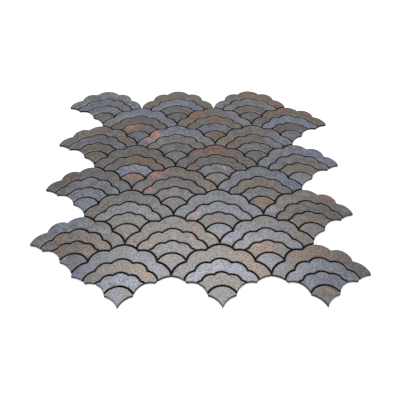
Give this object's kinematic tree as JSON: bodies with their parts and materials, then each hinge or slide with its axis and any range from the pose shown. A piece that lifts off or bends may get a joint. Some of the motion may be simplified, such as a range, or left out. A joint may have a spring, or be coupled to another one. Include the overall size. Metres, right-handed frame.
{
  "type": "self-adhesive metal mosaic tile sheet",
  "caption": "Thin flat mosaic sheet of interlocking scalloped fan shapes, each made of nested metal chips in mixed slate tints on a self-adhesive backing, for cladding walls.",
  "frame": {"origin": "centre of the sheet on the plane of its adhesive back face", "axes": "+X along the rows of fans, +Y from the front row to the back row, where the crowns point, +Z out of the decorated face"},
  "size_m": [0.2996, 0.283, 0.003],
  "materials": {
    "adhesive_backing": "black adhesive film",
    "slate_blue": "matte printed slate, blue-grey",
    "slate_brown": "matte printed slate, brown-grey",
    "slate_grey": "matte printed slate, neutral grey"
  },
  "bodies": {
    "root": {"adhesive_backing": "adhesive_backing", "outer_chips_blue": "slate_blue", "outer_chips_brown": "slate_brown", "outer_chips_grey": "slate_grey", "second_chips_blue": "slate_blue", "second_chips_brown": "slate_brown", "second_chips_grey": "slate_grey", "third_chips_blue": "slate_blue", "third_chips_brown": "slate_brown", "third_chips_grey": "slate_grey", "point_chips_blue": "slate_blue", "point_chips_brown": "slate_brown", "point_chips_grey": "slate_grey"}
  },
  "joints": []
}
